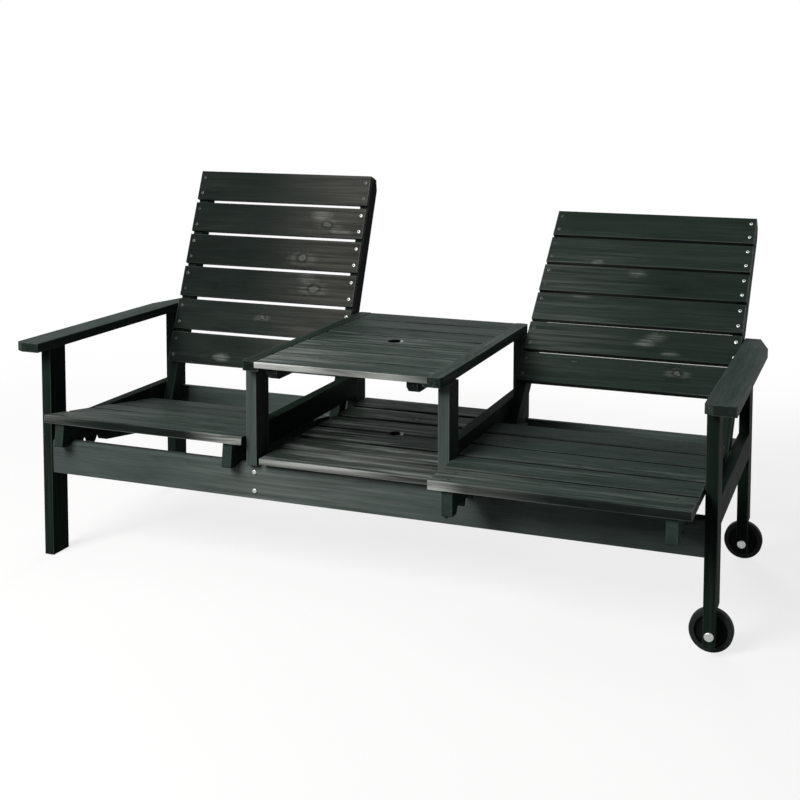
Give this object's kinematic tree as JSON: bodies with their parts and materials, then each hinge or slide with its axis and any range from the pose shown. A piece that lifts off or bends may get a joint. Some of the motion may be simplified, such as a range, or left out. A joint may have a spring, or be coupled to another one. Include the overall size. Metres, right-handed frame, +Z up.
{
  "type": "garden sofa",
  "caption": "Dark stained timber garden sofa for two with a slatted table and shelf between reclining seats, wheels under one end.",
  "frame": {"origin": "floor, at the middle of the overall box", "axes": "+X towards the end with the wheels, which is the viewer's right from the front; -Y to the front; +Z up"},
  "size_m": [1.866, 1.146, 0.9855],
  "materials": {
    "stained_pine": "green-black glaze stain over softwood, grain and knots showing",
    "beech_dowel": "plain",
    "zinc_steel": "bright zinc plating",
    "stained_steel": "stained over with the wood",
    "black_rubber": "matt",
    "black_plastic": "moulded, satin"
  },
  "bodies": {
    "frame": {"axle_bolts": "zinc_steel", "back_pivot_bolts": "zinc_steel", "batten_screws": "zinc_steel", "frame_bolts": "zinc_steel", "frame_dowels": "beech_dowel", "front_apron": "stained_pine", "left_armrest": "stained_pine", "left_bay_rail": "stained_pine", "left_front_leg": "stained_pine", "left_front_post": "stained_pine", "left_rear_leg": "stained_pine", "left_rear_post": "stained_pine", "left_side_rail": "stained_pine", "left_table_edge": "stained_pine", "rear_apron": "stained_pine", "right_armrest": "stained_pine", "right_bay_rail": "stained_pine", "right_front_leg": "stained_pine", "right_front_post": "stained_pine", "right_rear_leg": "stained_pine", "right_rear_post": "stained_pine", "right_side_rail": "stained_pine", "right_table_edge": "stained_pine", "shelf_bearers": "stained_pine", "shelf_parasol_slats": "stained_pine", "shelf_screws": "stained_steel", "shelf_slats": "stained_pine", "table_battens": "stained_pine", "table_parasol_slat": "stained_pine", "table_slats": "stained_pine"},
    "left_back": {"left_back_bottom_slat": "stained_pine", "left_back_inner_stile": "stained_pine", "left_back_middle_slats": "stained_pine", "left_back_outer_stile": "stained_pine", "left_back_screws": "zinc_steel", "left_back_top_slat": "stained_pine", "left_seat_hinge_bolts": "zinc_steel"},
    "left_seat": {"left_seat_inner_rail": "stained_pine", "left_seat_outer_rail": "stained_pine", "left_seat_screws": "stained_steel", "left_seat_slats": "stained_pine"},
    "right_back": {"right_back_bottom_slat": "stained_pine", "right_back_inner_stile": "stained_pine", "right_back_middle_slats": "stained_pine", "right_back_outer_stile": "stained_pine", "right_back_screws": "zinc_steel", "right_back_top_slat": "stained_pine", "right_seat_hinge_bolts": "zinc_steel"},
    "right_seat": {"right_seat_inner_rail": "stained_pine", "right_seat_outer_rail": "stained_pine", "right_seat_screws": "stained_steel", "right_seat_slats": "stained_pine"},
    "front_wheel": {"front_wheel_hub": "black_plastic", "front_wheel_tyre": "black_rubber"},
    "rear_wheel": {"rear_wheel_hub": "black_plastic", "rear_wheel_tyre": "black_rubber"}
  },
  "joints": [
    {"name": "left_back_recline", "type": "hinge", "parent": "frame", "child": "left_back", "pos_m": [-0.56525, 0.23053, 0.535], "axis": [-1, 0, 0], "range_deg": [0, 25.8]},
    {"name": "left_seat_follow", "type": "hinge", "parent": "left_back", "child": "left_seat", "pos_m": [-0.56525, 0.12246, 0.24594], "axis": [-1, 0, 0], "range_deg": [-16.51, 0]},
    {"name": "right_back_recline", "type": "hinge", "parent": "frame", "child": "right_back", "pos_m": [0.56525, 0.23053, 0.535], "axis": [-1, 0, 0], "range_deg": [-25.8, 0]},
    {"name": "right_seat_follow", "type": "hinge", "parent": "right_back", "child": "right_seat", "pos_m": [0.56525, 0.00745, 0.32176], "axis": [-1, 0, 0], "range_deg": [0, 48.5]},
    {"name": "front_wheel_spin", "type": "hinge", "parent": "frame", "child": "front_wheel", "pos_m": [0.876, -0.37047, 0.05], "axis": [0, 1, 0], "continuous": true},
    {"name": "rear_wheel_spin", "type": "hinge", "parent": "frame", "child": "rear_wheel", "pos_m": [0.876, 0.22653, 0.05], "axis": [0, 1, 0], "continuous": true}
  ],
  "couplings": [
    {"joint": "left_seat_follow", "follows": "left_back_recline", "ratio": -0.64},
    {"joint": "right_seat_follow", "follows": "right_back_recline", "ratio": -1.88}
  ]
}
